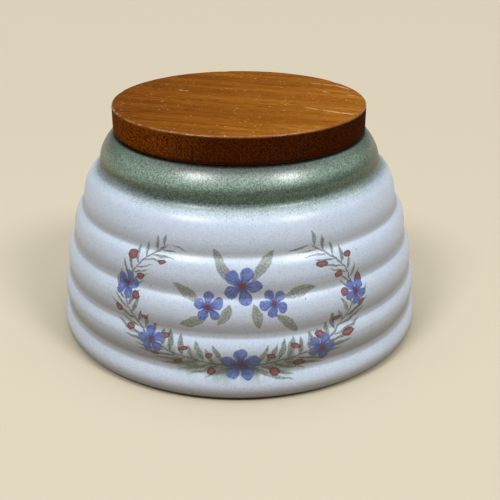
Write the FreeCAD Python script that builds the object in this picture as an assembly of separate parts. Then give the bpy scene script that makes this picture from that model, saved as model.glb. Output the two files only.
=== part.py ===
import FreeCAD, Part
import math
import os

# A squat stoneware pot with a ribbed wall, closed by a flat wooden lid that lifts off.
# Origin: centre of the foot, on the table. +Z is up. Every size is in millimetres.

# Pot: mouth and lip
RIM_HEIGHT = 66.0             # top of the lip above the table
MOUTH_RADIUS = 35.5           # straight wall that the lid drops into
MOUTH_DEPTH = 8.0             # from the top of the lip to the end of that wall
LIP_INNER_ROUND = 1.6
LIP_OUTER_ROUND = 3.2
LIP_WIDTH = 3.2               # level top of the lip, before its outer edge is rounded
UNDERLIP_ROUND = 3.0

# Pot: ribbed wall
BELLY_RADIUS = 58.3           # groove line at the lowest groove
LEAN_POWER = 1.757            # how late the groove line turns in towards the neck: 1 is a plain cone
SHOULDER_REACH = 6.1          # from the level top of the lip out to the end of the groove line
SHOULDER_SWELL = 1.69         # how far the shoulder stands out from its own chord
SHOULDER_CREST_SHARE = 0.6    # of the shoulder's chord, from its upper end
NECK_SINK = 1.4               # how much deeper than the groove line the neck is drawn in
NECK_RIB_SWELL = 2.37         # how far the rib below the neck stands out from its own chord
RIB_SWELL = 1.68              # how far each rib below that stands out from its own chord
RIB_CREST_SHARE = 0.40        # of a rib's chord, from its upper end: the ribs are fuller at the top
GROOVE_ROUND = 3.6            # hollow radius between two ribs
GROOVE_HEIGHT_SHARES = (0.148, 0.316, 0.490, 0.657, 0.841)   # of the rim's height, from the lowest up

# Pot: base and inside
BASE_SPREAD = 1.5             # how far the foot of the wall stands outside the lowest groove
BASE_SWELL = 1.42             # how far the lowest rib stands out from its own chord
BASE_CREST_SHARE = 0.5        # of the lowest rib's chord
BASE_EDGE_ROUND = 1.6
FOOT_RISE = 0.9               # underside of the lowest rib above the table
FOOT_SETBACK = 5.0            # from the foot of the wall in to the foot ring
FOOT_WIDTH = 4.5              # ground face that the pot stands on
FOOT_ROUND = 0.35
FOOT_RECESS = 1.6             # underside of the floor above the table
WALL = 5.0                    # from a groove in to the smooth inside
FLOOR = 5.0
FLOOR_ROUND = 8.0
INNER_ROUND = 18.0            # where the inside turns from the wall to the lip
INNER_HEIGHT_SHARES = (0.73, 0.39)   # of the rim's height: where the inside turns, from the top down

# Lid board
LID_OVERLAP = 5.1             # how far the board reaches past the mouth's wall
LID_THICKNESS = 8.9
LID_TOP_ROUND = 0.7
LID_BOTTOM_ROUND = 1.5

# Lid spigot
SPIGOT_DEPTH = 7.0
SPIGOT_CLEARANCE = 1.3        # between the spigot and the mouth's wall
SPIGOT_ROUND = 1.0

# Seal ring
SEAL_HEIGHT = 3.4
SEAL_BAND = 1.8               # thickness of the band that lies in the spigot's groove
SEAL_SEAT_CLEARANCE = 0.05    # between the band and the bottom of the groove
SEAL_SIDE_CLEARANCE = 0.1     # between the band and each side of the groove
SEAL_LIP_CLEARANCE = 0.25     # between a relaxed fin and the mouth's wall
SEAL_FIN_COUNT = 2
SEAL_ROOT_SHARE = 0.60        # of a fin's pitch
SEAL_TIP_SHARE = 0.26         # of a fin's pitch
SEAL_TIP_ROUND = 0.15
SEAL_PLACE_SHARE = 0.5        # of the spigot's depth

# Wood screws
SCREW_COUNT = 3
SCREW_INSET = 12.35           # from the bottom of the seal's groove in to a screw's axis
SCREW_BITE = 5.2              # length that reaches into the board
SCREW_HEAD_RADIUS = 2.75
SCREW_HEAD_RIM = 0.3
SCREW_SHANK_RADIUS = 1.4
SCREW_POINT = 1.8
SCREW_SINK = 0.3              # head below the spigot's face
SCREW_CLEARANCE = 0.05
SLOT_WIDTH = 0.7
SLOT_DEPTH = 0.8
SLOT_TURN = 59.0              # degrees by which each screw stopped further round than the last

CUT_OVERRUN = 1.0             # how far a cutting tool passes a face
CORNER_ROOM_SHARE = 0.48      # most of a straight run that one rounded corner may take

# Places that follow from the sizes above
LID_UNDERSIDE = RIM_HEIGHT
LID_TOP = LID_UNDERSIDE + LID_THICKNESS
LID_RADIUS = MOUTH_RADIUS + LID_OVERLAP
SPIGOT_UNDERSIDE = LID_UNDERSIDE - SPIGOT_DEPTH
SPIGOT_RADIUS = MOUTH_RADIUS - SPIGOT_CLEARANCE
SEAL_MIDDLE = LID_UNDERSIDE - SPIGOT_DEPTH * SEAL_PLACE_SHARE
SEAL_INNER_RADIUS = SPIGOT_RADIUS - SEAL_BAND
SEAL_OUTER_RADIUS = MOUTH_RADIUS - SEAL_LIP_CLEARANCE
SEAL_GROOVE_RADIUS = SEAL_INNER_RADIUS - SEAL_SEAT_CLEARANCE
SEAL_GROOVE_HALF = SEAL_HEIGHT / 2 + SEAL_SIDE_CLEARANCE
LIP_OUTER_RADIUS = MOUTH_RADIUS + LIP_INNER_ROUND + LIP_WIDTH
GROOVE_LINE_END = LIP_OUTER_RADIUS + SHOULDER_REACH
BASE_RADIUS = BELLY_RADIUS + BASE_SPREAD
FOOT_OUTER_RADIUS = BASE_RADIUS - FOOT_SETBACK
FOOT_INNER_RADIUS = FOOT_OUTER_RADIUS - FOOT_WIDTH
FLOOR_TOP = FOOT_RECESS + FLOOR
SCREW_HEAD = SCREW_HEAD_RIM + SCREW_HEAD_RADIUS - SCREW_SHANK_RADIUS   # countersunk at 45 degrees
SCREW_CIRCLE_RADIUS = SEAL_GROOVE_RADIUS - SCREW_INSET
SCREW_FACE = SPIGOT_UNDERSIDE + SCREW_SINK
SCREW_LENGTH = LID_UNDERSIDE + SCREW_BITE - SCREW_FACE

ORIGIN = FreeCAD.Vector(0, 0, 0)
UP = FreeCAD.Vector(0, 0, 1)


# Outlines in the half plane that is turned about Z

def at(radius, height):
    return FreeCAD.Vector(radius, 0, height)


def unit(vector):
    return FreeCAD.Vector(vector).normalize()


def line(start, end):
    return Part.LineSegment(start, end).toShape()


def arc(start, via, end):
    return Part.Arc(start, via, end).toShape()


def via_point(centre, radius, start, end):
    """The middle of the short arc from start to end."""
    return centre + unit((start + end) / 2 - centre) * radius


def rounded(corners):
    """Edges through corners of (point, round): straight runs, with a tangent arc at each round."""
    edges = []
    start = corners[0][0]
    for (before, _), (corner, radius), (after, _) in zip(corners, corners[1:], corners[2:]):
        end = onward = corner
        if radius:
            back, ahead = before - corner, after - corner
            half_angle = back.getAngle(ahead) / 2
            room = CORNER_ROOM_SHARE * min(back.Length, ahead.Length)
            reach = min(radius / math.tan(half_angle), room)
            end = corner + unit(back) * reach
            onward = corner + unit(ahead) * reach
            centre = corner + unit(unit(back) + unit(ahead)) * (reach / math.cos(half_angle))
            via = via_point(centre, reach * math.tan(half_angle), end, onward)
        edges.append(line(start, end))
        if radius:
            edges.append(arc(end, via, onward))
        start = onward
    edges.append(line(start, corners[-1][0]))
    return edges


def turned(edges):
    """The solid that a closed outline sweeps in one turn about Z."""
    return Part.Face(Part.Wire(edges)).revolve(ORIGIN, UP, 360)


def turned_polygon(corners):
    return turned(rounded(corners + corners[:1]))


# Circles of the ribbed wall, each a centre and a radius

def rib_circles(low, high, swell, crest_share):
    """A rib's crest, and the circles from low up to it and from it up to high, which touch there."""
    way = unit(high - low)
    outward = at(way.z, -way.x)
    above = (high - low).Length * crest_share
    below = (high - low).Length - above
    crest = high - way * above + outward * swell
    radii = [(run ** 2 + swell ** 2) / (2 * swell) for run in (below, above)]
    return crest, *[(crest - outward * radius, radius) for radius in radii]


def groove_arc(lower, upper, hollow):
    """Three points of the hollow arc that touches two rib circles from outside."""
    (low_centre, low_radius), (high_centre, high_radius) = lower, upper
    low_reach, high_reach = low_radius + hollow, high_radius + hollow
    apart = high_centre - low_centre
    along = (low_reach ** 2 - high_reach ** 2 + apart.Length ** 2) / (2 * apart.Length)
    aside = math.sqrt(low_reach ** 2 - along ** 2)
    way = unit(apart)
    centre = low_centre + way * along + at(way.z, -way.x) * aside
    start = low_centre + unit(centre - low_centre) * low_radius
    end = high_centre + unit(centre - high_centre) * high_radius
    return start, via_point(centre, hollow, start, end), end


def edge_round(circle, height, radius, side):
    """Three points of the round from a level face to a rib.

    side is 1 for a rib that stands above the face and -1 for one that lies below it.
    """
    rib_centre, rib_radius = circle
    level = height + side * radius
    across = math.sqrt((rib_radius - radius) ** 2 - (level - rib_centre.z) ** 2)
    centre = at(rib_centre.x + across, level)
    on_face = at(centre.x, height)
    on_rib = rib_centre + unit(centre - rib_centre) * rib_radius
    return on_face, via_point(centre, radius, on_face, on_rib), on_rib


# The stoneware pot

def groove_line(height):
    """Radius of the curve through the grooves: upright at the belly and leaning in towards the neck."""
    low = GROOVE_HEIGHT_SHARES[0] * RIM_HEIGHT
    high = GROOVE_HEIGHT_SHARES[-1] * RIM_HEIGHT
    rise = (height - low) / (high - low)
    return BELLY_RADIUS - (BELLY_RADIUS - GROOVE_LINE_END) * max(rise, 0) ** LEAN_POWER


def wall_ribs():
    """The lowest rib, the ribs above it and the shoulder, from the table up."""
    heights = [share * RIM_HEIGHT for share in GROOVE_HEIGHT_SHARES]
    *grooves, neck = [at(groove_line(height), height) for height in heights]
    neck -= at(NECK_SINK, 0)
    lip_corner = at(LIP_OUTER_RADIUS, RIM_HEIGHT)
    return [
        rib_circles(at(BASE_RADIUS, FOOT_RISE), grooves[0], BASE_SWELL, BASE_CREST_SHARE),
        *[rib_circles(low, high, RIB_SWELL, RIB_CREST_SHARE) for low, high in zip(grooves, grooves[1:])],
        rib_circles(grooves[-1], neck, NECK_RIB_SWELL, RIB_CREST_SHARE),
        rib_circles(neck, lip_corner, SHOULDER_SWELL, SHOULDER_CREST_SHARE),
    ]


def rib_edges(rib, start, end):
    crest, lower, upper = rib
    below = arc(start, via_point(*lower, start, crest), crest)
    above = arc(crest, via_point(*upper, crest, end), end)
    return [below, above]


def wall_edges(ribs, base, lip):
    """The outside from the base round up to the lip round: a rib, a groove, the next rib and so on."""
    edges = [arc(*base)]
    start = base[-1]
    for rib, next_rib in zip(ribs, ribs[1:]):
        end, via, onward = groove_arc(rib[-1], next_rib[1], GROOVE_ROUND)
        edges += rib_edges(rib, start, end)
        edges.append(arc(end, via, onward))
        start = onward
    edges += rib_edges(ribs[-1], start, lip[-1])
    edges.append(arc(*reversed(lip)))
    return edges


def make_pot_body():
    ribs = wall_ribs()
    base = edge_round(ribs[0][1], FOOT_RISE, BASE_EDGE_ROUND, 1)
    lip = edge_round(ribs[-1][-1], RIM_HEIGHT, LIP_OUTER_ROUND, -1)
    underside = [
        (at(0, FOOT_RECESS), 0),
        (at(FOOT_INNER_RADIUS, FOOT_RECESS), FOOT_ROUND),
        (at(FOOT_INNER_RADIUS, 0), FOOT_ROUND),
        (at(FOOT_OUTER_RADIUS, 0), FOOT_ROUND),
        (at(FOOT_OUTER_RADIUS, FOOT_RISE), FOOT_ROUND),
        (base[0], 0),
    ]
    turns = [share * RIM_HEIGHT for share in INNER_HEIGHT_SHARES]
    inside = [
        (lip[0], 0),
        (at(MOUTH_RADIUS, RIM_HEIGHT), LIP_INNER_ROUND),
        (at(MOUTH_RADIUS, RIM_HEIGHT - MOUTH_DEPTH), UNDERLIP_ROUND),
        *[(at(groove_line(height) - WALL, height), INNER_ROUND) for height in turns],
        (at(BELLY_RADIUS - WALL, FLOOR_TOP), FLOOR_ROUND),
        (at(0, FLOOR_TOP), 0),
        (at(0, FOOT_RECESS), 0),
    ]
    return turned(rounded(underside) + wall_edges(ribs, base, lip) + rounded(inside))


# The wooden lid

def screw_outline(clearance, face):
    """Outline of a screw that stands on its head, or of its hole with a clearance, from face up."""
    head_radius = SCREW_HEAD_RADIUS + clearance
    shank_radius = SCREW_SHANK_RADIUS + clearance
    return [
        (at(0, face), 0),
        (at(head_radius, face), 0),
        (at(head_radius, SCREW_HEAD_RIM), 0),
        (at(shank_radius, SCREW_HEAD), 0),
        (at(shank_radius, SCREW_LENGTH - SCREW_POINT), 0),
        (at(0, SCREW_LENGTH + clearance), 0),
    ]


def round_the_lid(shape):
    """A copy of a shape at each screw's place."""
    copies = []
    for number in range(SCREW_COUNT):
        copy = shape.copy()
        copy.translate(at(SCREW_CIRCLE_RADIUS, SCREW_FACE))
        copy.rotate(ORIGIN, UP, 360 * number / SCREW_COUNT)
        copies.append(copy)
    return copies


def screw_holes():
    return round_the_lid(turned_polygon(screw_outline(SCREW_CLEARANCE, -SCREW_SINK - CUT_OVERRUN)))


def make_lid_board():
    board = turned_polygon([
        (at(0, LID_UNDERSIDE), 0),
        (at(LID_RADIUS, LID_UNDERSIDE), LID_BOTTOM_ROUND),
        (at(LID_RADIUS, LID_TOP), LID_TOP_ROUND),
        (at(0, LID_TOP), 0),
    ])
    return board.cut(screw_holes())


def make_lid_spigot():
    spigot = turned_polygon([
        (at(0, SPIGOT_UNDERSIDE), 0),
        (at(SPIGOT_RADIUS, SPIGOT_UNDERSIDE), SPIGOT_ROUND),
        (at(SPIGOT_RADIUS, SEAL_MIDDLE - SEAL_GROOVE_HALF), 0),
        (at(SEAL_GROOVE_RADIUS, SEAL_MIDDLE - SEAL_GROOVE_HALF), 0),
        (at(SEAL_GROOVE_RADIUS, SEAL_MIDDLE + SEAL_GROOVE_HALF), 0),
        (at(SPIGOT_RADIUS, SEAL_MIDDLE + SEAL_GROOVE_HALF), 0),
        (at(SPIGOT_RADIUS, LID_UNDERSIDE), 0),
        (at(0, LID_UNDERSIDE), 0),
    ])
    return spigot.cut(screw_holes())


def make_seal_ring():
    """A band for the spigot's groove, with thin fins that reach for the mouth's wall."""
    pitch = SEAL_HEIGHT / SEAL_FIN_COUNT
    bottom = SEAL_MIDDLE - SEAL_HEIGHT / 2
    corners = [(at(SEAL_INNER_RADIUS, bottom), 0), (at(SPIGOT_RADIUS, bottom), 0)]
    for number in range(SEAL_FIN_COUNT):
        middle = bottom + pitch * number + pitch / 2
        root = pitch * SEAL_ROOT_SHARE / 2
        tip = pitch * SEAL_TIP_SHARE / 2
        corners.append((at(SPIGOT_RADIUS, middle - root), 0))
        corners.append((at(SEAL_OUTER_RADIUS, middle - tip), SEAL_TIP_ROUND))
        corners.append((at(SEAL_OUTER_RADIUS, middle + tip), SEAL_TIP_ROUND))
        corners.append((at(SPIGOT_RADIUS, middle + root), 0))
    corners.append((at(SPIGOT_RADIUS, bottom + SEAL_HEIGHT), 0))
    corners.append((at(SEAL_INNER_RADIUS, bottom + SEAL_HEIGHT), 0))
    return turned_polygon(corners)


def make_spigot_screws():
    blank = turned_polygon(screw_outline(0, 0))
    slot_length = 2 * SCREW_HEAD_RADIUS + 2 * CUT_OVERRUN
    screws = []
    for number in range(SCREW_COUNT):
        slot = Part.makeBox(slot_length, SLOT_WIDTH, SLOT_DEPTH + CUT_OVERRUN)
        slot.translate(FreeCAD.Vector(-slot_length / 2, -SLOT_WIDTH / 2, -CUT_OVERRUN))
        slot.rotate(ORIGIN, UP, SLOT_TURN * number)
        screws.append(round_the_lid(blank.cut(slot))[number])
    return Part.makeCompound(screws)


MAKERS = {
    "pot_body": make_pot_body,
    "lid_board": make_lid_board,
    "lid_spigot": make_lid_spigot,
    "seal_ring": make_seal_ring,
    "spigot_screws": make_spigot_screws,
}


def main():
    os.makedirs("parts", exist_ok=True)
    for name, make in MAKERS.items():
        shape = make()
        shape.exportStep(f"parts/{name}.step")
        print(f"{name}: {len(shape.Solids)} solid(s), valid {shape.isValid()}, {shape.Volume:.1f} mm3")


main()
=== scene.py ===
# %% [markdown]
# # A ribbed stoneware pot with a wooden lid
# The pot is small enough to lift with one hand: a squat, swelling shell thrown in
# soft rolls, with a white satin glaze, a green sprayed shoulder and a painted
# garland. A flat teak lid lies on its mouth. The measured solids come from the
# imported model, so this lesson only dresses them: nothing is moved, and each
# new piece rides on the body that carries it.

# %% Load the measured model
import math

import bmesh
import bpy
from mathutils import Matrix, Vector, noise


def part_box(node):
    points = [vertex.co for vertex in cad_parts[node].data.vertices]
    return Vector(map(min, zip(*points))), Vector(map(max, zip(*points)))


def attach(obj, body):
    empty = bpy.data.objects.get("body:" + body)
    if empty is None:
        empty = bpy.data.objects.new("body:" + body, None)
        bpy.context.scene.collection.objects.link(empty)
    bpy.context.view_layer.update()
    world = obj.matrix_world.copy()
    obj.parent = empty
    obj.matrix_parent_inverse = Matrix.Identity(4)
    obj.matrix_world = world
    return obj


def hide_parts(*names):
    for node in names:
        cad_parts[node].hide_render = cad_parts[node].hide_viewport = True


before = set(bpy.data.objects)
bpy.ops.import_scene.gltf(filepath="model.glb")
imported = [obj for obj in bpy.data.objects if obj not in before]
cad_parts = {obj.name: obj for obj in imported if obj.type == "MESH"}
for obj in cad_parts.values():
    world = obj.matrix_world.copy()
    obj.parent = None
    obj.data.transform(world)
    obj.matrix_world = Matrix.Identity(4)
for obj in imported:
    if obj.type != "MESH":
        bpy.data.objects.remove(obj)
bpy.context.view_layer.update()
MM = 0.001
TINY = 1e-6

# %% [markdown]
# ## Colours as a paint program shows them
# Shaders work on linear light, but a colour that is read off a screen isn't
# linear. One small function turns the usual 0 to 255 values into linear ones,
# so that every colour below can be written the familiar way.


# %% Screen colours to linear colours
def srgb(red, green, blue):
    """A screen colour from 0 to 255, as the linear colour that a socket takes."""
    levels = []
    for level in (red, green, blue):
        share = level / 255
        if share <= 0.04045:
            levels.append(share / 12.92)
        else:
            levels.append(((share + 0.055) / 1.055) ** 2.4)
    return (*levels, 1.0)


print("a mid grey of 128 is", round(srgb(128, 128, 128)[0], 3), "in linear light")

# %% [markdown]
# ## Shader sums in plain Python
# A finish is a network of nodes, and most of it is arithmetic. Linking Math
# nodes one by one hides what is meant, so a Wire stands for one output socket
# and knows how to be added, multiplied or compared: each sum adds its own Math
# node. Every other node comes from one method, Finish.node.


# %% A wire that can be calculated with
class Wire:
    """One output socket of a finish, for use in Python sums."""

    def __init__(self, finish, socket):
        self.finish = finish
        self.socket = socket

    def __add__(self, other):
        return self.finish.math("ADD", self, other)

    def __sub__(self, other):
        return self.finish.math("SUBTRACT", self, other)

    def __rsub__(self, other):
        return self.finish.math("SUBTRACT", other, self)

    def __mul__(self, other):
        return self.finish.math("MULTIPLY", self, other)

    def __truediv__(self, other):
        return self.finish.math("DIVIDE", self, other)

    def __pow__(self, other):
        return self.finish.math("POWER", self, other)

    def __lt__(self, other):
        return self.finish.math("LESS_THAN", self, other)

    def __gt__(self, other):
        return self.finish.math("GREATER_THAN", self, other)

    def __abs__(self):
        return self.finish.math("ABSOLUTE", self)

    def __neg__(self):
        return self.finish.math("MULTIPLY", self, -1.0)

    __radd__ = __add__
    __rmul__ = __mul__


print("a wire adds Math nodes for + - * / ** < > and abs")

# %% [markdown]
# ## A finish
# One Finish is one material. Its node method takes a node's type, the settings
# that have to come first, and the values or wires of its sockets. The short
# methods after it are the few things that most finishes need.


# %% A finish that makes its nodes
class Finish:
    """A material, or the world, whose network is written as expressions."""

    def __init__(self, name, owner=None, place="Object"):
        self.owner = owner or bpy.data.materials.new(name)
        self.owner.use_nodes = True
        self.tree = self.owner.node_tree
        self.tree.nodes.clear()
        self.place = self.node("ShaderNodeTexCoord", output=place)

    def node(self, kind, settings=None, inputs=None, output=0):
        """Add a node, settings first, then sockets; gives one output, or several by a tuple."""
        made = self.tree.nodes.new(kind)
        for name, value in (settings or {}).items():
            if name == "stops":
                self.set_stops(made.color_ramp, value)
            else:
                setattr(made, name, value)
        for name, value in (inputs or {}).items():
            if isinstance(value, Wire):
                self.tree.links.new(value.socket, made.inputs[name])
            else:
                made.inputs[name].default_value = value
        if isinstance(output, tuple):
            return [Wire(self, made.outputs[name]) for name in output]
        return Wire(self, made.outputs[output]) if made.outputs else None

    def set_stops(self, ramp, stops):
        """Give a colour ramp its stops, each a position and a colour."""
        while len(ramp.elements) < len(stops):
            ramp.elements.new(0.5)
        for element, (position, colour) in zip(ramp.elements, stops):
            element.position = position
            element.color = colour

    def math(self, operation, first, second=0.0):
        """One Math node with one or two values."""
        return self.node("ShaderNodeMath", {"operation": operation}, {0: first, 1: second})

    def mix(self, share, under, over, blend="MIX"):
        """One colour over another, by a share from 0 to 1."""
        settings = {"data_type": "RGBA", "blend_type": blend, "clamp_factor": True}
        return self.node("ShaderNodeMix", settings, {0: share, 6: under, 7: over}, 2)

    def smooth(self, value, low, high):
        """0 below low, 1 above high, with a soft step between them."""
        settings = {"interpolation_type": "SMOOTHSTEP"}
        return self.node("ShaderNodeMapRange", settings, {0: value, 1: low, 2: high})

    def fit(self, value, low, high, start, end):
        """Stretch low..high to start..end, and hold it there."""
        return self.node("ShaderNodeMapRange", None, {0: value, 1: low, 2: high, 3: start, 4: end})

    def scaled(self, vector, *factors):
        """A vector with each of its axes multiplied by its own factor."""
        settings = {"operation": "MULTIPLY"}
        return self.node("ShaderNodeVectorMath", settings, {0: vector, 1: factors})

    def millimetres(self):
        """The place on the piece, in millimetres."""
        return self.scaled(self.place, 1 / MM, 1 / MM, 1 / MM)

    def off_axis(self, place):
        """Distance from the axis that a turned piece is turned on."""
        level = self.scaled(place, 1, 1, 0)
        return self.node("ShaderNodeVectorMath", {"operation": "LENGTH"}, {0: level}, 1)

    def distance(self, across, along):
        """Length of the straight way to a point."""
        return self.math("SQRT", across * across + along * along)

    def noise(self, vector, scale, detail=2.0, rough=0.5, output=0):
        """Soft noise as one number, or as a vector by output 1."""
        inputs = {"Vector": vector, "Scale": scale, "Detail": detail, "Roughness": rough}
        return self.node("ShaderNodeTexNoise", None, inputs, output)

    def axes(self, vector):
        """The three numbers of a vector as three wires."""
        return self.node("ShaderNodeSeparateXYZ", None, {0: vector}, (0, 1, 2))

    def cells(self, vector, scale=1.0):
        """Distance to the nearest of many scattered points, and three dice for that point."""
        inputs = {"Vector": vector, "Scale": scale}
        distance, dice = self.node("ShaderNodeTexVoronoi", None, inputs, ("Distance", "Color"))
        return distance, self.axes(dice)

    def largest(self, *values):
        """The largest of several values."""
        top, *others = values
        for value in others:
            top = self.math("MAXIMUM", top, value)
        return top

    def vector(self, across, along):
        """A flat vector from two numbers."""
        return self.node("ShaderNodeCombineXYZ", None, {0: across, 1: along})

    def dice(self, cell, row):
        """Three random numbers that belong to one cell of a row."""
        seed = {"Vector": self.vector(cell, row)}
        return self.axes(self.node("ShaderNodeTexWhiteNoise", {"noise_dimensions": "2D"}, seed, 1))

    def surface(self, colour, roughness, relief=None, **constants):
        """Close the network with one Principled shader; relief is a height in millimetres."""
        inputs = {"Base Color": colour, "Roughness": roughness}
        if relief is not None:
            heights = {"Strength": 1.0, "Distance": MM, "Height": relief}
            inputs["Normal"] = self.node("ShaderNodeBump", None, heights)
        for name, value in constants.items():
            inputs[name.replace("_", " ")] = value
        shader = self.node("ShaderNodeBsdfPrincipled", None, inputs)
        self.node("ShaderNodeOutputMaterial", None, {"Surface": shader})
        print(self.owner.name, "has", len(self.tree.nodes), "nodes")
        return self.owner


# %% [markdown]
# ## The pot's outline
# The pot is a turned shape, so one line from the axis under the foot, up the
# ribs, over the lip and down to the axis on the floor says all of it. The line
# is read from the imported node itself, along the seam where its surface begins
# and ends: that keeps the dressed pot where the solid is. The flat
# discs at both ends have no seam, so the axis points are added. Equal steps
# would cut off the small rounded edges, so a point stays wherever the line has
# turned enough or gone far enough.

# %% Read the outline from the node's seam
OUTLINE_GAP = 0.62 * MM
OUTLINE_TURN = math.radians(7)
OUTLINE_RUN = 2.2 * MM


def outline_of(name):
    """The turned outline of a node as (radius, height) points, along its seam."""
    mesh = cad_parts[name].data
    on_seam = {}
    for vertex in mesh.vertices:
        if abs(vertex.co.y) < TINY and vertex.co.x > -TINY:
            on_seam[vertex.index] = (round(max(vertex.co.x, 0.0), 6), round(vertex.co.z, 6))
    beside = {}
    for edge in mesh.edges:
        ends = [on_seam.get(index) for index in edge.vertices]
        if None not in ends and ends[0] != ends[1]:
            beside.setdefault(ends[0], set()).add(ends[1])
            beside.setdefault(ends[1], set()).add(ends[0])
    ends = [point for point, others in beside.items() if len(others) == 1]
    line = [min(ends, key=lambda point: point[1])]
    onward = beside[line[-1]]
    while onward:
        line.append(min(onward, key=lambda point: math.dist(point, line[-1])))
        onward = beside[line[-1]] - set(line)
    return [(0.0, line[0][1]), *line, (0.0, line[-1][1])]


def thinned(line, gap, turn):
    """Leave out points that are closer than the gap, unless the line turns there."""
    kept = [line[0]]
    heading = None
    for before, point, after in zip(line, line[1:], line[2:]):
        ahead = math.atan2(after[1] - point[1], after[0] - point[0])
        if heading is None:
            heading = math.atan2(point[1] - before[1], point[0] - before[0])
        bend = abs(math.remainder(ahead - heading, math.tau))
        if bend > turn or math.dist(kept[-1], point) > gap:
            kept.append(point)
            heading = ahead
    return kept + [line[-1]]


def divided(line, longest):
    """Split the long straight runs of a line."""
    points = [line[0]]
    for start, end in zip(line, line[1:]):
        steps = max(1, math.ceil(math.dist(start, end) / longest))
        for step in range(1, steps + 1):
            share = step / steps
            points.append(tuple(a + (b - a) * share for a, b in zip(start, end)))
    return points


pot_line = thinned(outline_of("pot_body"), OUTLINE_GAP, OUTLINE_TURN)
pot_line = divided(pot_line, OUTLINE_RUN)
lip_index = max(range(len(pot_line)), key=lambda index: (pot_line[index][1], pot_line[index][0]))
print("pot outline:", len(pot_line), "points, lip at", pot_line[lip_index])

# %% [markdown]
# ## Throwing the pot
# A lathe of quads gives a cleaner surface than triangles from a solid, and it
# lets the wall wander a little, as a hand-thrown wall does: a tenth of a
# millimetre in and out, and the grooves a little up and down. The lip, the
# bore and the foot stay true, because the lid and the table fit them.

# %% A lathe for turned pieces
POT_SEGMENTS = 256
WALL_FROM = (44 * MM, 46 * MM)
WALL_FOOT = (2 * MM, 7 * MM)
WALL_TOP = (57 * MM, 62 * MM)
SLOW_SWELL = 0.16 * MM
QUICK_SWELL = 0.06 * MM
GROOVE_LIFT = 0.22 * MM


def turned(name, line, segments, shift=None):
    """A closed turned mesh; shift moves a point off its true place."""
    mesh = bpy.data.meshes.new(name)
    work = bmesh.new()
    rings = []
    for radius, height in line:
        if radius < TINY:
            rings.append([work.verts.new((0.0, 0.0, height))])
            continue
        ring = []
        for step in range(segments):
            angle = math.tau * step / segments
            out, rise = shift(radius, height, angle) if shift else (0.0, 0.0)
            x = (radius + out) * math.cos(angle)
            y = (radius + out) * math.sin(angle)
            ring.append(work.verts.new((x, y, height + rise)))
        rings.append(ring)
    for lower, upper in zip(rings, rings[1:]):
        for step in range(segments):
            after = (step + 1) % segments
            corners = [lower[step % len(lower)], lower[after % len(lower)]]
            corners += [upper[after % len(upper)], upper[step % len(upper)]]
            work.faces.new(dict.fromkeys(corners)).smooth = True
    bmesh.ops.recalc_face_normals(work, faces=work.faces)
    work.to_mesh(mesh)
    work.free()
    piece = bpy.data.objects.new(name, mesh)
    bpy.context.scene.collection.objects.link(piece)
    return piece


def eased(value, low, high):
    """0 below low, 1 above high, with a soft step between them."""
    share = min(max((value - low) / (high - low), 0.0), 1.0)
    return share * share * (3 - 2 * share)


def hand_thrown(radius, height, angle):
    """How far the wall stands off its true place, out and up."""
    outside = eased(radius, *WALL_FROM) * eased(height, *WALL_FOOT)
    wall = outside * (1 - eased(height, *WALL_TOP))
    around = Vector((math.cos(angle), math.sin(angle), 0.0))
    slow = noise.noise(around * 1.1 + Vector((3.1, 0.7, height * 26)))
    quick = noise.noise(around * 3.2 + Vector((0.0, 5.3, height * 70)))
    lift = noise.noise(around * 1.6 + Vector((8.2, 2.9, height * 55)))
    return wall * (SLOW_SWELL * slow + QUICK_SWELL * quick), wall * GROOVE_LIFT * lift


outside_points = set(pot_line[: lip_index + 1])


def pot_shift(radius, height, angle):
    """The outside wanders, and the inside stays true."""
    return hand_thrown(radius, height, angle) if (radius, height) in outside_points else (0.0, 0.0)


pot = turned("pot", pot_line, POT_SEGMENTS, pot_shift)
print("pot:", len(pot.data.polygons), "faces")

# %% [markdown]
# ## Crests, grooves and undersides
# A melted glaze draws away from a sharp crest and gathers a little in a hollow;
# the grooves and the undersides of the ribs also get painted shade. So two
# numbers are stored on the mesh for the finish to read. One is the turn of the
# outline, averaged with its neighbours: above a half on a crest, below it in a
# groove. The other says how far the wall faces down.

# %% Store crests and undersides on the mesh
CREST_REACH = 3
CREST_GAIN = 2.2
SHORTEST_SPAN = 0.1 * MM
UNDERSIDE_FACING = (-18, 14)


def crest_shares(line):
    """How much the outline bulges at each point, from 0 in a hollow to 1 on a crest."""
    turns = [0.0]
    for before, point, after in zip(line, line[1:], line[2:]):
        first = math.atan2(point[1] - before[1], point[0] - before[0])
        second = math.atan2(after[1] - point[1], after[0] - point[0])
        span = (math.dist(before, point) + math.dist(point, after)) / 2
        turns.append(math.remainder(second - first, math.tau) / max(span, SHORTEST_SPAN) * MM)
    turns.append(0.0)
    shares = []
    for index in range(len(line)):
        near = turns[max(0, index - CREST_REACH): index + CREST_REACH + 1]
        bulge = sum(near) / len(near)
        shares.append(min(max(0.5 + bulge * CREST_GAIN, 0.0), 1.0))
    return shares


def underside_shade_shares(line):
    """How far the outline faces down at each point, the mask of painted shade on the undersides: 0
    on a rib's face, 1 on its underside.
    """
    shares = []
    for before, after in zip(line[:1] + line, line[1:] + line[-1:]):
        facing_up = math.degrees(math.atan2(before[0] - after[0], after[1] - before[1]))
        shares.append(1 - eased(facing_up, *UNDERSIDE_FACING))
    return shares


def store(piece, name, line, shares, segments):
    """Keep one number for each ring of a turned mesh, under a name that a finish can read."""
    layer = piece.data.attributes.new(name, "FLOAT", "POINT")
    values = []
    for (radius, _), share in zip(line, shares):
        values += [share] * (1 if radius < TINY else segments)
    layer.data.foreach_set("value", values)
    print(name, "runs from", round(min(values), 2), "to", round(max(values), 2))


store(pot, "crest", pot_line, crest_shares(pot_line), POT_SEGMENTS)
store(pot, "run", pot_line, underside_shade_shares(pot_line), POT_SEGMENTS)

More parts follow.
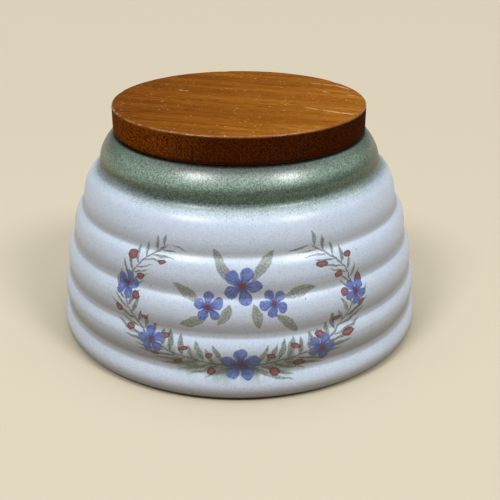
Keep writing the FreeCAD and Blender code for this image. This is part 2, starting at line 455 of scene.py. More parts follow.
# %% [markdown]
# ## The white glaze
# The body colour is a satin white with a breath of blue. Three things keep it
# from looking like plastic: a soft mottle where the glaze is thicker or
# thinner, a fine grey pepper that lies just under the surface, and a few iron
# specks that burnt through. The relief is the slight orange peel of a melted
# glaze and the fine rings that fingers leave on a wheel. A glaze is glass over
# clay, so a clear coat lies on top: it gives a gleam its bright middle, and the
# rougher layer below gives it the soft halo. The white has only a thin one. The
# inside throws its own light back and forth, which deepens any tint, so its
# white is the more neutral of the two.

# %% A white glaze for outside and inside
GLASS = {"Coat_Roughness": 0.29, "Coat_IOR": 1.8}
SATIN = 0.28
WHITES = (srgb(214, 228, 248), srgb(224, 236, 253))
PEPPER = srgb(140, 142, 150)
IRON = srgb(88, 70, 60)
LINER_TINT = srgb(253, 246, 234)


def white_glaze(finish):
    """Colour, roughness and relief of the bare white glaze."""
    place = finish.millimetres()
    cloud = finish.noise(place, 0.11, 3)
    colour = finish.mix(cloud, *WHITES)
    pepper = finish.smooth(finish.cells(place, 3.2)[1][0], 0.55, 1.0)
    colour = finish.mix(pepper * 0.22, colour, PEPPER)
    spot, spot_dice = finish.cells(place, 0.16)
    fleck = finish.smooth(spot, 0.05, 0.02) * (spot_dice[0] > 0.45)
    colour = finish.mix(fleck * 0.8, colour, IRON)
    peel = finish.noise(place, 0.75, 1)
    height = finish.axes(place)[2]
    wander = finish.noise(place, 0.05, 1)
    rings = finish.math("SINE", height * 3.6 + wander * 9.0)
    relief = peel * 0.012 + rings * 0.0015 - pepper * 0.003
    rough = finish.fit(cloud, 0.3, 0.7, 0.38, 0.44) + pepper * 0.06
    return colour, rough, relief


liner = Finish("white_liner_glaze")
liner_colour, liner_rough, liner_relief = white_glaze(liner)
liner_colour = liner.mix(1.0, liner_colour, LINER_TINT, "MULTIPLY")
liner_glaze = liner.surface(liner_colour, liner_rough, liner_relief, Coat_Weight=SATIN, **GLASS)

# %% [markdown]
# ## The painter's sheet
# The outside is painted on a curved wall, so the painter's coordinates go round
# the pot: across is the distance from the middle of the front, up is the
# height, both in millimetres. A brush is never quite where it was meant to be,
# so both are nudged by a slow noise before anything is drawn with them.

# %% Coordinates that go round the pot
PAINT_RADIUS = 54.0
BRUSH_WANDER = 1.5
outer = Finish("painted_outer_glaze")
colour, rough, relief = white_glaze(outer)
outer_place = outer.millimetres()
x, y, up = outer.axes(outer_place)
across = outer.math("ARCTAN2", x, -y) * PAINT_RADIUS
from_axis = outer.off_axis(outer_place)
unsteady = outer.axes(outer.noise(outer_place, 0.34, 2, output=1))
brush_x = across + (unsteady[0] - 0.5) * BRUSH_WANDER
brush_y = up + (unsteady[1] - 0.5) * BRUSH_WANDER
grain = outer.noise(outer_place, 2.6, 2, 0.6)
print("painter's sheet:", round(math.tau * PAINT_RADIUS), "mm round")

# %% [markdown]
# ## A wreath to paint along
# The garland is two leafy branches that start below and curve up on both
# sides. Drawing each leaf by hand would take hundreds of nodes, so the sheet is
# bent instead: one number runs along the branch and another says how far a
# point is from it. An ellipse gives both, and mirroring across the middle makes
# the second branch for free.

# %% Bend the sheet along the branches
WREATH_MIDDLE = 30.5
WREATH_REACH = 34.0
WREATH_RISE = 18.5


def along_wreath(finish, across, up):
    """Distance along a branch from the bottom, and distance outward from it."""
    wide = abs(across) / WREATH_REACH
    low = (WREATH_MIDDLE - up) / WREATH_RISE
    turn = finish.math("ARCTAN2", wide, low)
    ring = finish.distance(wide, low)
    flat = finish.math("COSINE", turn) * WREATH_REACH
    steep = finish.math("SINE", turn) * WREATH_RISE
    pace = finish.distance(flat, steep)
    outward = (ring - 1) * (WREATH_REACH * WREATH_RISE) / pace
    mean = (WREATH_REACH + WREATH_RISE) / 2
    swing = (WREATH_REACH - WREATH_RISE) / 4
    return turn * mean + finish.math("SINE", turn * 2) * swing, outward


branch, outward = along_wreath(outer, brush_x, brush_y)
side = outer.math("SIGN", across)
print("branches bend round an ellipse of", 2 * WREATH_REACH, "by", 2 * WREATH_RISE, "mm")

# %% [markdown]
# ## Leaves along a branch
# Leaves repeat along the branch, so the distance along it is cut into cells and
# one leaf is drawn in each. The cut is slanted the way the leaves lean, which
# keeps a whole leaf inside its own cell. A roll of dice for each cell changes
# its length, its lean and how much pigment the brush held.

# %% Brush leaves in slanted cells
LEAF_PITCH = 3.0
LEAF_REACH = 5.6
LEAF_HALF = 0.80
LEAF_COUNT = 20
LEAF_LEAN = 0.95
LEAF_CURL = 0.035
LEAF_SLANT = 0.72
LEAF_SIZES = (1.08, 0.62)
STEM_EDGE = (0.36, 0.16)
STEM_FADE = 2.0


def leaf_swell(finish, share, fullness):
    """How wide a leaf is at a share of its length, 0 at both ends and 1 in the middle."""
    return finish.math("MAXIMUM", share * (1 - share) * 4, 0.0) ** fullness


def row_of_leaves(finish, facing, shift):
    """A mask and a tone for the leaves on one face of the branches, 1 outer and -1 inner."""
    away = finish.math("MAXIMUM", outward * facing, 0.0)
    slant = branch - away * LEAF_LEAN - away * away * LEAF_CURL - shift
    step = slant / LEAF_PITCH
    cell = finish.math("FLOOR", step)
    dice = finish.dice(cell, side * 3 + facing)
    size = finish.fit(cell, 0, LEAF_COUNT, *LEAF_SIZES) * (0.82 + dice[0] * 0.36)
    share = away / (size * LEAF_REACH)
    swell = leaf_swell(finish, share, 0.85)
    aside = abs(step - cell - 0.5 + (dice[1] - 0.5) * 0.22) * (LEAF_PITCH * LEAF_SLANT)
    inside = swell * size * LEAF_HALF - aside
    grown = (cell > -0.5) * (cell < LEAF_COUNT)
    mask = finish.smooth(inside, 0.0, 0.24) * grown
    rib = finish.smooth(aside, 0.22, 0.05)
    tone = dice[2] * 0.45 + rib * 0.30 + (1 - share) * 0.30
    return mask, tone


outer_leaves, outer_tone = row_of_leaves(outer, facing=1, shift=0.6)
inner_leaves, inner_tone = row_of_leaves(outer, facing=-1, shift=2.4)
stem_end = LEAF_PITCH * LEAF_COUNT
stem = outer.smooth(branch, stem_end + STEM_FADE, stem_end - STEM_FADE)
stem = stem * outer.smooth(abs(outward), *STEM_EDGE)
print("leaves:", 4 * LEAF_COUNT)

# %% [markdown]
# ## Berries
# Small oxblood dots sit by the stem on both faces, a dot for every two or three
# leaves. Each is a round brush touch: a darker rim where the pigment gathered,
# and a paler middle.

# %% Dots beside the stem
BERRY_PITCH = 7.4
BERRY_RADIUS = 1.15
BERRY_COUNT = 7
BERRY_GAP = 2.1
BERRY_SCATTER = 1.5


def row_of_berries(finish, facing, shift):
    """A mask and a rim for the berries on one face of the branches."""
    step = (branch - shift) / BERRY_PITCH
    cell = finish.math("FLOOR", step)
    dice = finish.dice(cell, side * 5 + facing)
    along = (step - cell - 0.5 + (dice[0] - 0.5) * 0.3) * BERRY_PITCH
    away = outward * facing - BERRY_GAP - dice[1] * BERRY_SCATTER
    distance = finish.distance(along, away)
    radius = BERRY_RADIUS * (0.8 + dice[2] * 0.4)
    grown = (cell > -0.5) * (cell < BERRY_COUNT - 0.5)
    mask = finish.smooth(distance, radius + 0.10, radius - 0.12) * grown
    rim = finish.smooth(distance, radius * 0.35, radius * 0.9)
    return mask, rim


outer_berries, outer_rim = row_of_berries(outer, facing=1, shift=3.0)
inner_berries, inner_rim = row_of_berries(outer, facing=-1, shift=6.4)
print("berries:", 4 * BERRY_COUNT)

# %% [markdown]
# ## Blossoms
# Blue five-petalled blossoms are listed, as the accents of the garland. A point
# belongs to at most one blossom, so the sheet is first recentred on whichever
# blossom is near, and the petals are drawn only once. The petals come from the
# angle round the centre, folded five times.

# %% Five-petalled blossoms
# Each row: across, up, radius, turn
BLOSSOMS = (
    (0.0, 12.3, 5.4, 0.25), (-24.6, 17.4, 4.0, 0.1), (22.2, 15.4, 4.3, 0.6),
    (-34.2, 31.8, 4.1, 0.4), (34.6, 29.0, 3.8, 0.8),
    (0.6, 35.6, 5.6, 0.55), (-8.6, 29.6, 4.2, 0.2), (9.2, 30.4, 4.0, 0.9),
)
PETALS = 5
NEAR_SQUARED = 1.7
FAR_OFF = 9.0


def recentred(finish, across, up, spots):
    """Coordinates from the middle of the spot that is near, where its radius is 1."""
    east, north, turned_by = FAR_OFF, FAR_OFF, 0.0
    for spot_x, spot_y, radius, phase in spots:
        to_x = (across - spot_x) / radius
        to_y = (up - spot_y) / radius
        near = (to_x * to_x + to_y * to_y) < NEAR_SQUARED
        east = near * (to_x - east) + east
        north = near * (to_y - north) + north
        turned_by = near * (phase - turned_by) + turned_by
    return east, north, turned_by


def blossoms(finish):
    """Masks for the petals and their middles, and the petals' tone."""
    east, north, phase = recentred(finish, brush_x, brush_y, BLOSSOMS)
    reach = finish.distance(east, north)
    fifth = finish.math("ARCTAN2", north, east) * (PETALS / math.tau) + phase
    fold = abs(finish.math("FRACT", fifth + PETALS) - 0.5) * 2
    edge = 1 - fold ** 2.4 * 0.46
    petals = finish.smooth(edge - reach, -0.03, 0.05)
    between = finish.smooth(fold, 0.80, 0.97) * finish.smooth(reach, 0.22, 0.5)
    petals = petals * (1 - between * 0.85)
    brushed = finish.noise(finish.vector(fifth * 7, reach * 0.9), 1.0, 3)
    streaks = finish.fit(brushed, 0.32, 0.68, 0.0, 0.7)
    tone = streaks + finish.smooth(reach, 0.62, 0.16) * 0.45
    return petals, finish.smooth(reach, 0.21, 0.13), tone


petals, hearts, petal_tone = blossoms(outer)
print("blossoms:", len(BLOSSOMS))

# %% [markdown]
# ## Single leaves round the posy
# The three blossoms in the middle need leaves behind them, and those don't
# follow a branch. Each is one brush stroke with its own foot, direction and
# length.

# %% Free leaves
# Each row: foot across, foot up, direction in degrees, length
FREE_LEAVES = (
    (-2.0, 36.0, 128, 11.0), (3.0, 36.5, 55, 11.0), (-11.0, 31.0, 160, 9.5),
    (12.0, 31.6, 18, 10.0), (-9.0, 27.0, 214, 8.5), (9.5, 27.6, 322, 8.8),
    (-2.5, 30.5, 250, 7.0), (3.5, 30.5, 292, 7.4),
)
FREE_HALF = 1.6
FREE_CURL = 1.3


def free_leaves(finish):
    """One mask and one tone for all the single leaves."""
    strokes = []
    shades = []
    for foot_x, foot_y, degrees, length in FREE_LEAVES:
        cosine = math.cos(math.radians(degrees))
        sine = math.sin(math.radians(degrees))
        to_x = brush_x - foot_x
        to_y = brush_y - foot_y
        share = (to_x * cosine + to_y * sine) / length
        aside = abs(to_y * cosine - to_x * sine + share * share * FREE_CURL)
        swell = leaf_swell(finish, share, 0.8)
        stroke = finish.smooth(swell * FREE_HALF - aside, 0.0, 0.25)
        shade = finish.smooth(aside, 0.3, 0.06) * 0.35 + (1 - share) * 0.3
        strokes.append(stroke)
        shades.append(stroke * shade)
    return finish.largest(*strokes), finish.largest(*shades)


single_leaves, single_tone = free_leaves(outer)
print("free leaves:", len(FREE_LEAVES))

# %% [markdown]
# ## Painting in order
# A painter lays the soft wash first, then leaves, stem, berries and blossoms.
# Each layer is mixed over the one before by its mask, and the mask is thinned
# by a fine grain, because brushed oxide never covers a raw glaze evenly.

# %% Lay the garland over the glaze
WASH = srgb(112, 136, 104)
LEAF_INKS = (srgb(144, 152, 134), srgb(60, 68, 54))
STEM_INK = srgb(78, 80, 66)
BERRY_INKS = (srgb(150, 82, 78), srgb(92, 34, 36))
PETAL_INKS = (srgb(118, 140, 212), srgb(34, 48, 128))
HEART_INK = srgb(118, 52, 50)
sparse = outer.fit(grain, 0.34, 0.62, 0.50, 1.0)
dab_clouds = outer.noise(outer.vector(brush_x * 1.6, brush_y * 0.55), 0.16, 2)
dabs = outer.smooth(dab_clouds, 0.34, 0.62)
low_wash = outer.smooth(abs(outward - 1.0), 6.0, 1.0) * outer.smooth(branch, 36, 8)
wash = low_wash * dabs * outer.fit(grain, 0.3, 0.6, 0.5, 0.95)
colour = outer.mix(wash, colour, WASH)
for mask, tone in ((outer_leaves, outer_tone), (inner_leaves, inner_tone),
                   (single_leaves, single_tone)):
    ink = outer.mix(tone, *LEAF_INKS)
    colour = outer.mix(mask * sparse, colour, ink)
colour = outer.mix(stem * sparse * 0.9, colour, STEM_INK)
for mask, rim in ((outer_berries, outer_rim), (inner_berries, inner_rim)):
    juice = outer.mix(rim, *BERRY_INKS)
    colour = outer.mix(mask * outer.fit(grain, 0.3, 0.55, 0.7, 1.0), colour, juice)
cobalt = outer.mix(petal_tone, *PETAL_INKS)
colour = outer.mix(petals * outer.fit(grain, 0.3, 0.55, 0.75, 1.0), colour, cobalt)
colour = outer.mix(hearts, colour, HEART_INK)
print("garland painted in", len(outer.tree.nodes), "nodes so far")

# %% [markdown]
# ## The sprayed green shoulder
# The green was blown on from a spray gun, so it has no edge: it thins out in
# dots over the last few millimetres above the first rib. The same dots show in
# its body as a light and dark stipple. It is darkest in the neck, from a thicker
# spray and from painted shade in the hollow. The gun's swing carried it a little
# higher to both sides, and there it is painted darker and olive, as painted shade
# where the light grazes. Close to the lid it is painted grey, as painted shade,
# and it ends in a dark line of painted contact shadow; the grey is fainter at the sides.

# %% Spray the shoulder
SPRAY_FOOT = 51.9
SPRAY_FULL = 56.9
SPRAY_INSIDE = (36.6, 39.2)
SWING_SIDES = (10, 40)
BAND_HEIGHT = 57.85
BAND_LEAN = 0.026
BAND_FADE = (4.1, 0.9)
FAR_SIDES = (30, 46)
LID_SHADE_SIDES = (12, 36)
LID_SHADE_RING = (43.8, 41.4)
CONTACT_SHADOW_RING = (41.15, 40.35)
GREENS = (srgb(92, 118, 99), srgb(168, 193, 175))
THICK_AND_SHADED_GREENS = (srgb(14, 34, 22), srgb(67, 97, 76))
SIDE_SHADE_OLIVES = (srgb(36, 46, 20), srgb(70, 84, 46))
LID_SHADE_GREYS = (srgb(32, 37, 32), srgb(72, 80, 72))
CONTACT_SHADOW_BLACK = srgb(8, 8, 6)
droplets = outer.cells(outer_place, 3.3)[1]
drift = (outer.noise(outer_place, 0.05, 1) - 0.5) * 2.0
spray_up = up - outer.smooth(abs(x), *SWING_SIDES) * (0.65 - x * 0.008)
cover = outer.fit(spray_up + drift, SPRAY_FOOT, SPRAY_FULL, 0.0, 1.0)
sprayed = outer.smooth(cover + (droplets[0] - 0.5) * 0.30, 0.0, 1.0)
sprayed = sprayed * outer.smooth(from_axis, *SPRAY_INSIDE)
stipple = outer.fit(droplets[1], 0.1, 0.95, 0.0, 1.0)
green = outer.mix(stipple, *GREENS)
# Painted shade in the neck's hollow, over a thicker spray: a darker green band round the neck.
deep = outer.mix(stipple, *THICK_AND_SHADED_GREENS)
from_band = abs(up - x * BAND_LEAN - BAND_HEIGHT)
green = outer.mix(outer.smooth(from_band, *BAND_FADE) * 0.92, green, deep)
# Painted shade: towards the sides, where the light grazes the shoulder, the green is darkened to
# olive.
side_shade = outer.smooth(abs(x), *FAR_SIDES)
green = outer.mix(side_shade * 0.6, green, outer.mix(stipple, *SIDE_SHADE_OLIVES))
# Painted shade under the lid's edge: the green turns grey close to the lid, less so at the sides.
lid_shade_weight = 1 - outer.smooth(abs(x), *LID_SHADE_SIDES) * 0.62
lid_shade_grey = outer.mix(stipple, *LID_SHADE_GREYS)
green = outer.mix(outer.smooth(from_axis, *LID_SHADE_RING) * lid_shade_weight * 0.9, green, lid_shade_grey)
# Painted contact shadow: a near-black line where the shoulder meets the lid.
green = outer.mix(outer.smooth(from_axis, *CONTACT_SHADOW_RING), green, CONTACT_SHADOW_BLACK)
colour = outer.mix(sprayed, colour, green)
relief = relief + stipple * sprayed * 0.004
print("green from", SPRAY_FOOT, "to the lip")

# %% [markdown]
# ## Thin crests, painted shade in grooves and under ribs, and a bare foot
# On the crests the clay warms the thin glaze a little. The grooves and the
# undersides of the ribs are painted creamier and darker than the tops, as
# painted shade, and the undersides carry less coat, so they are duller. Only the
# green shoulder is really glassy: its gleam breaks up in the sprayed dots, and
# its coat is thinned close to the lid.
# The ring that the pot stands on was wiped clean before the firing, or it would
# have stuck to the kiln shelf, and shows rough buff clay with a few dark grains.

# %% Finish the outside
THIN_TINT = srgb(232, 222, 206)
GROOVE_SHADE_TINT = srgb(190, 181, 168)
UNDERSIDE_SHADE_TINT = srgb(187, 176, 162)
CLAYS = (srgb(150, 122, 92), srgb(206, 182, 148))
SHOULDER_FOOT = (57.5, 60.0)
DULL_RING = (42.9, 41.0)
crest = outer.node("ShaderNodeAttribute", {"attribute_name": "crest"}, output="Fac")
run = outer.node("ShaderNodeAttribute", {"attribute_name": "run"}, output="Fac")
thin = outer.smooth(crest, 0.62, 0.95) * 0.15
# Painted shade in the grooves, on top of a little pooled glaze: darker and creamier there.
groove_shade = outer.smooth(crest, 0.42, 0.12) * (1 - sprayed) * 0.75
colour = outer.mix(thin, colour, THIN_TINT, "MULTIPLY")
colour = outer.mix(groove_shade, colour, GROOVE_SHADE_TINT, "MULTIPLY")
# Painted shade: the undersides of the ribs are darkened and warmed, as far as they face down.
colour = outer.mix(run * (1 - sprayed), colour, UNDERSIDE_SHADE_TINT, "MULTIPLY")
bare = outer.smooth(up + (outer.noise(outer_place, 0.4, 2) - 0.5) * 0.5, 0.75, 0.45)
grog = outer.noise(outer_place, 2.2, 4, 0.7)
clay = outer.mix(grog, *CLAYS)
colour = outer.mix(bare, colour, clay)
rough = rough + bare * 0.5
relief = relief + bare * grog * 0.08
sparkle = outer.fit(droplets[2], 0.1, 0.9, 0.5, 1.0)
veiled = outer.smooth(from_axis, *DULL_RING) * lid_shade_weight * 0.95
glassy = outer.smooth(up, *SHOULDER_FOOT) * (sparkle - SATIN) + SATIN
glassy = glassy * (1 - side_shade * sprayed * 0.6) * (1 - run * 0.6) * (1 - veiled)
outer_glaze = outer.surface(colour, rough, relief, Coat_Weight=glassy, **GLASS)

# %% [markdown]
# ## Dressing the pot
# The outside and underside take the painted glaze, and everything past the lip
# takes the plain white one. The dressed pot then stands for the measured node.

# %% Put the glazes on the pot
pot.data.materials.append(outer_glaze)
pot.data.materials.append(liner_glaze)
outside_faces = lip_index * POT_SEGMENTS
for face in pot.data.polygons:
    face.material_index = 0 if face.index < outside_faces else 1
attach(pot, "pot")
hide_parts("pot_body")
print("outside faces:", outside_faces, "inside faces:", len(pot.data.polygons) - outside_faces)

# %% [markdown]
# ## Teak
# Teak is a solid texture: the same fibres show as long streaks on the face of
# the board, as short dashes on its side and as dots on its ends. So the texture
# is built in the wood's own space, with a long axis along the fibres: slow
# bands of growth, fine streaks, dark open pores and paler flecks, all stretched
# by different amounts.

# %% A teak finish
TEAK_STOPS = (
    (0.30, srgb(92, 45, 9)), (0.46, srgb(134, 75, 14)),
    (0.57, srgb(152, 90, 20)), (0.70, srgb(184, 120, 46)),
)
PORE = srgb(66, 30, 8)
FLECK = srgb(226, 186, 128)


def teak(name, grain_degrees, depth=1.0):
    """A finish with the wood's colour, roughness and relief, and its place in millimetres."""
    finish = Finish(name)
    place = finish.millimetres()
    turn = {"rotation_type": "Z_AXIS"}
    wood = finish.node("ShaderNodeVectorRotate", turn,
                       {"Vector": place, "Angle": math.radians(-grain_degrees)})
    sway = finish.noise(finish.scaled(wood, 0.02, 0.05, 0.05), 1.0, 1, output=1)
    bent = finish.node("ShaderNodeVectorMath", {"operation": "MULTIPLY_ADD"},
                       {0: sway, 1: (0.0, 9.0, 9.0), 2: wood})
    growth = finish.noise(finish.scaled(bent, 0.012, 0.26, 0.26), 1.0, 2, 0.5)
    streak = finish.noise(finish.scaled(bent, 0.055, 3.2, 3.2), 1.0, 3, 0.7)
    paler = finish.axes(wood)[0] * 0.0022
    colour = finish.node("ShaderNodeValToRGB", {"stops": TEAK_STOPS},
                         {"Fac": growth * 0.32 + streak * 0.68 + paler})
    pore, pore_dice = finish.cells(finish.scaled(bent, 0.20, 1.9, 1.9))
    pore = finish.smooth(pore, 0.30, 0.12) * (pore_dice[0] > 0.35)
    colour = finish.mix(pore * 0.65 * depth, colour, PORE)
    fleck, fleck_dice = finish.cells(finish.scaled(bent, 0.75, 1.5, 1.5))
    fleck = finish.smooth(fleck, 0.36, 0.14) * (fleck_dice[0] > 0.90) * fleck_dice[1]
    colour = finish.mix(fleck * 0.9, colour, FLECK)
    rough = 0.48 + pore * 0.2 + (streak - 0.5) * 0.2
    relief = streak * 0.02 - pore * 0.05
    return finish, place, colour, rough, relief


lid_finish, lid_place, lid_colour, lid_rough, lid_relief = teak("lid_teak", grain_degrees=-17)
print("teak started with", len(lid_finish.tree.nodes), "nodes")

# %% [markdown]
# ## Wear and painted shade on the lid
# The lid has lived in a kitchen. Its sides are painted darker and redder than its
# face: partly end grain that has drunk more oil, partly painted shade on the
# upright side. They grow darker towards the right end, and are mottled with
# orange, more so towards the left. Fingers polish the top edge, and rub it pale
# on one side, and a few scratches cross the face. A scratch is the distance to a
# short straight line, thinned by noise.

# %% Darken the sides, rub the edge and scratch the face
# Each row: start east and north, end east and north, strength
SCRATCHES = (
    (20.0, -10.0, 25.0, -13.5, 0.6), (25.0, -13.5, 35.0, -19.0, 1.0),
    (24.5, 21.5, 33.0, 17.5, 0.6), (33.0, 17.5, 37.5, 11.5, 0.8),
    (35.0, 5.0, 38.0, 3.5, 1.0), (-20.5, 12.5, -16.5, 10.5, 0.8),
    (27.5, 10.0, 30.0, 7.5, 0.7),
)
OILED_AND_SHADED = (srgb(54, 13, 3), srgb(40, 7, 3))
WORN_ORANGE = srgb(154, 82, 12)
BARE_WOOD = srgb(206, 164, 120)
LID_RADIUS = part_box("lid_board")[1].x / MM
LID_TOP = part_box("lid_board")[1].z / MM


def scratches(finish, place):
    """One mask for all the scratches on the face."""
    east, north, up = finish.axes(place)
    broken = finish.smooth(finish.noise(place, 0.5, 3, 0.7), 0.30, 0.54)
    lines = []
    for start_x, start_y, end_x, end_y, strength in SCRATCHES:
        length = math.dist((start_x, start_y), (end_x, end_y))
        cosine = (end_x - start_x) / length
        sine = (end_y - start_y) / length
        along = (east - start_x) * cosine + (north - start_y) * sine
        past = abs(along - length / 2) - length / 2
        aside = abs((north - start_y) * cosine - (east - start_x) * sine)
        lines.append(finish.smooth(aside, 0.75, 0.2) * finish.smooth(past, 0.4, -1.6) * strength)
    return finish.largest(*lines) * broken * (up > LID_TOP - 0.4)


east, north, lid_up = lid_finish.axes(lid_place)
lid_reach = lid_finish.distance(east, north)


def near_rim(start, end):
    """From 0 at a distance start inside the rim to 1 at a distance end, in millimetres."""
    return lid_finish.smooth(lid_reach, LID_RADIUS - start, LID_RADIUS - end)


def near_top(start, end):
    """From 0 at a depth start below the top to 1 at a depth end, in millimetres."""
    return lid_finish.smooth(lid_up, LID_TOP - start, LID_TOP - end)


lid_side = near_rim(0.7, 0.1) * (1 - near_top(0.9, 0.2))
ragged = (lid_finish.noise(lid_place, 0.08, 2) - 0.5) * 14
pale_end = lid_finish.smooth(east + ragged, -6, -30)
mottle = lid_finish.smooth(lid_finish.noise(lid_place, 2.1, 3, 0.7), 0.34, 0.68)
# Painted shade with oil: the upright sides are dark red, darker towards the right.
oiled_and_shaded = lid_finish.mix(lid_finish.smooth(east, -5, 25), *OILED_AND_SHADED)
side_colour = lid_finish.mix(mottle * (0.24 + pale_end * 0.95), oiled_and_shaded, WORN_ORANGE)
lid_colour = lid_finish.mix(lid_side, lid_colour, side_colour)
rubbed = lid_finish.smooth(lid_finish.noise(lid_place, 0.5, 3), 0.36, 0.66)
edge = near_rim(0.6, 0.3) * near_top(0.62, 0.25) * rubbed
scratch = scratches(lid_finish, lid_place)
pale = lid_finish.largest(edge * (0.06 + pale_end * 0.45), scratch)
lid_colour = lid_finish.mix(pale, lid_colour, BARE_WOOD)
lid_relief = lid_relief - scratch * 0.03
polish = near_rim(0.75, 0.3) * near_top(0.8, 0.3)
lid_rough = lid_rough + lid_side * 0.35
lid_teak = lid_finish.surface(lid_colour, lid_rough, lid_relief, Specular_IOR_Level=0.03,
                              Coat_Weight=polish * 0.75, Coat_Roughness=0.2)

# %% [markdown]
# ## The lid board
# The board is turned again as a clean lathe, with the same radius, thickness
# and rounded edges as the solid, because its edge has small dents that a
# material alone can't give: their shadow has to follow the light. The dents are
# only along the top edge, so the board still lies flat on the lip.

# %% Turn the lid board
LID_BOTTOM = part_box("lid_board")[0].z / MM
TOP_ROUND = 0.7
BOTTOM_ROUND = 1.5
BOARD_RUN = 1.5
BOARD_SEGMENTS = 420
UNEVEN = 0.05
# Each row: angle round the board, depth, half width
DENTS = ((-1.9, 0.14, 1.4), (-0.35, 0.12, 1.1), (-2.55, 0.16, 1.3), (0.6, 0.15, 1.6),
         (1.7, 0.10, 1.4), (2.9, 0.14, 1.5), (-1.2, 0.10, 0.9))


def quarter(middle_x, middle_y, radius, start, steps=6):
    """Points of a quarter circle, from a start angle in degrees."""
    angles = [math.radians(start + 90 * step / steps) for step in range(steps + 1)]
    return [(middle_x + radius * math.cos(a), middle_y + radius * math.sin(a)) for a in angles]


def worn_edge(radius, height, angle):
    """Dents and a slight unevenness along the board's top edge."""
    reach = radius / MM
    top = eased(reach, LID_RADIUS - 1.4, LID_RADIUS - 0.4)
    top *= eased(height / MM, LID_TOP - 2.2, LID_TOP - 0.3)
    around = Vector((math.cos(angle), math.sin(angle), height * 20))
    depth = UNEVEN * (noise.noise(around * 9) + 0.6 * noise.noise(around * 23)) * top
    for place, deep, wide in DENTS:
        gap = math.remainder(angle - place, math.tau) * LID_RADIUS / wide
        depth -= deep * math.exp(-gap * gap) * top
    return depth * MM, 0.6 * min(depth, 0.0) * MM


board_line = [(0.0, LID_BOTTOM)]
board_line += quarter(LID_RADIUS - BOTTOM_ROUND, LID_BOTTOM + BOTTOM_ROUND, BOTTOM_ROUND, -90)
board_line += quarter(LID_RADIUS - TOP_ROUND, LID_TOP - TOP_ROUND, TOP_ROUND, 0)
board_line += [(0.0, LID_TOP)]
board_line = divided(board_line, BOARD_RUN)
board_line = [(radius * MM, height * MM) for radius, height in board_line]
board = turned("lid_board_worn", board_line, BOARD_SEGMENTS, worn_edge)
board.data.materials.append(lid_teak)
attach(board, "lid")
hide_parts("lid_board")
print("lid board:", len(board.data.polygons), "faces")

# %% [markdown]
# ## The spigot, its seal and its screws
# These show only when the lid is off. Their solids already have the right
# shape, so they keep it and take a finish: the same teak with its grain
# crossed, a soft ring that light sinks into a little, and brass that has
# dulled in patches.

# %% Finish the pieces under the lid
SPIGOT_EDGE = (31.0, 33.6)
SPIGOT_TINT = srgb(168, 120, 104)
SILICONE = (srgb(214, 210, 200), srgb(186, 178, 162))
BRASS = (srgb(196, 160, 92), srgb(128, 92, 48))
spigot_wood = teak("spigot_teak", grain_degrees=81, depth=0.8)
spigot_finish, spigot_place, spigot_colour, spigot_rough, spigot_relief = spigot_wood
spigot_side = spigot_finish.smooth(spigot_finish.off_axis(spigot_place), *SPIGOT_EDGE)
spigot_colour = spigot_finish.mix(spigot_side * 0.6, spigot_colour, SPIGOT_TINT, "MULTIPLY")
spigot_teak = spigot_finish.surface(spigot_colour, spigot_rough, spigot_relief,
                                    Specular_IOR_Level=0.32)

ring_finish = Finish("seal_silicone")
ring_place = ring_finish.millimetres()
dust = ring_finish.noise(ring_place, 0.5, 4, 0.6)
dulled = ring_finish.smooth(dust, 0.45, 0.7) * 0.5
ring_colour = ring_finish.mix(dulled, *SILICONE)
ring_silicone = ring_finish.surface(ring_colour, ring_finish.fit(dust, 0.3, 0.7, 0.42, 0.6),
                                    ring_finish.noise(ring_place, 4.0, 2) * 0.01,
                                    Subsurface_Weight=0.25, Subsurface_Scale=0.002)

brass_finish = Finish("screw_brass_dulled")
brass_place = brass_finish.millimetres()
tarnish = brass_finish.smooth(brass_finish.noise(brass_place, 1.1, 4, 0.6), 0.42, 0.68)
lathe_marks = brass_finish.noise(brass_finish.scaled(brass_place, 1, 1, 6), 3.0, 2)
brass_colour = brass_finish.mix(tarnish * 0.7, *BRASS)
screw_brass = brass_finish.surface(brass_colour, 0.28 + tarnish * 0.25, lathe_marks * 0.008,
                                   Metallic=1.0)

under_lid = {"lid_spigot": spigot_teak, "seal_ring": ring_silicone, "spigot_screws": screw_brass}
for name, material in under_lid.items():
    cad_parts[name].data.materials.clear()
    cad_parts[name].data.materials.append(material)
print("finished:", ", ".join(under_lid))

# %% [markdown]
# ## Floor
# The pot stands on a plain cream floor. To the eye it is pale, but the light that
# comes back from it into the grooves is warm and brown, as from a wooden table.

# %% Lay the floor
FLOOR_HALF = 20
TABLE_BROWN = srgb(112, 86, 56)
CREAM = srgb(216, 203, 178)
floor_finish = Finish("cream_floor")
rays = floor_finish.node("ShaderNodeLightPath",
                         output=("Is Camera Ray", "Is Glossy Ray", "Is Transmission Ray"))
floor_colour = floor_finish.mix(floor_finish.largest(*rays), TABLE_BROWN, CREAM)
floor_mesh = bpy.data.meshes.new("floor")
signs = ((-1, -1), (1, -1), (1, 1), (-1, 1))
corners = [(east_sign * FLOOR_HALF, north_sign * FLOOR_HALF, 0) for east_sign, north_sign in signs]
floor_mesh.from_pydata(corners, [], [(0, 1, 2, 3)])
floor = bpy.data.objects.new("floor", floor_mesh)
floor.data.materials.append(floor_finish.surface(floor_colour, 0.6))
bpy.context.scene.collection.objects.link(floor)

# %% [markdown]
# ## Sky
# The sky is bright overhead and dim low down, because a bright low sky would lie
# as a milky veil on the lid, which is seen at a low angle. Only a thin rim of it
# takes the floor's colour, so that the floor has no hard edge.

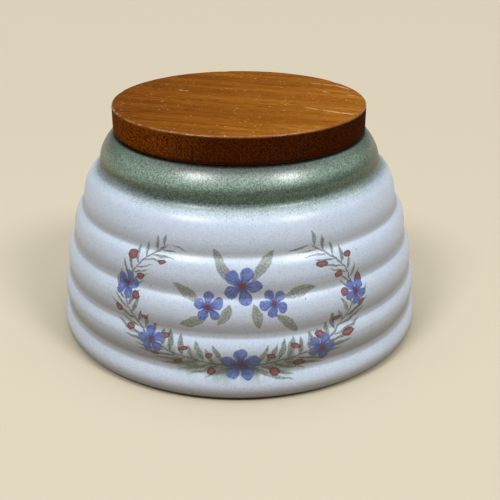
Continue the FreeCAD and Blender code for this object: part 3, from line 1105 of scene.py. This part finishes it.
# %% Hang the sky
RIM_SKY = srgb(220, 210, 187)
LOW_SKY = (0.03, 0.031, 0.033, 1.0)
HIGH_SKY = (0.30, 0.32, 0.34, 1.0)
SKY_STOPS = ((0.05, RIM_SKY), (0.09, LOW_SKY), (0.25, LOW_SKY), (1.0, HIGH_SKY))
world = bpy.data.worlds.new("studio_sky")
bpy.context.scene.world = world
sky = Finish("studio_sky", world, "Generated")
glow = sky.node("ShaderNodeValToRGB", {"stops": SKY_STOPS}, {"Fac": sky.axes(sky.place)[2]})
background = sky.node("ShaderNodeBackground", None, {"Color": glow})
sky.node("ShaderNodeOutputWorld", None, {"Surface": background})
print("sky: dim low down, bright overhead")

# %% [markdown]
# ## Lamps
# Two soft lamps stand high in front, one on each side, and leave the two gleams
# on the shoulder. A wide one overhead gives every rib its light upper half.

# %% Hang the lamps
LAMP_COLOUR = (0.97, 0.99, 1.0)


def lamp(name, direction, strength, degrees):
    """A far soft lamp that shines on the pot from a direction."""
    data = bpy.data.lights.new(name, "SUN")
    data.energy = strength
    data.angle = math.radians(degrees)
    data.color = LAMP_COLOUR
    hung = bpy.data.objects.new(name, data)
    hung.location = Vector(direction)
    hung.rotation_euler = (-Vector(direction)).to_track_quat("-Z", "Y").to_euler()
    bpy.context.scene.collection.objects.link(hung)


lamp("lamp_left", (-0.46, -0.44, 0.77), strength=1.07, degrees=15)
lamp("lamp_right", (0.52, -0.44, 0.71), strength=1.10, degrees=15)
lamp("lamp_overhead", (0.0, -0.05, 1.0), strength=1.42, degrees=75)
print("lamps: 3")

# %% [markdown]
# ## Camera
# The camera stands where the photographer stood: a little above the lid, close
# enough that the front of the pot looks larger than its back.

# %% Set up the camera
LENS = 61.2
SENSOR = 36.0
CAMERA_PLACE = (0.0, -0.2682, 0.1444)
LOOK_DOWN = 24.6
LOOK_RIGHT = 0.75
camera_data = bpy.data.cameras.new("camera")
camera_data.lens = LENS
camera_data.sensor_width = SENSOR
camera_data.clip_start = 0.01
camera = bpy.data.objects.new("camera", camera_data)
camera.location = CAMERA_PLACE
camera.rotation_euler = (math.radians(90 - LOOK_DOWN), 0.0, math.radians(-LOOK_RIGHT))
bpy.context.scene.collection.objects.link(camera)
bpy.context.scene.camera = camera
bpy.context.scene.view_settings.view_transform = "Standard"
print("camera", round(camera.location.length, 3), "m from the middle of the foot")
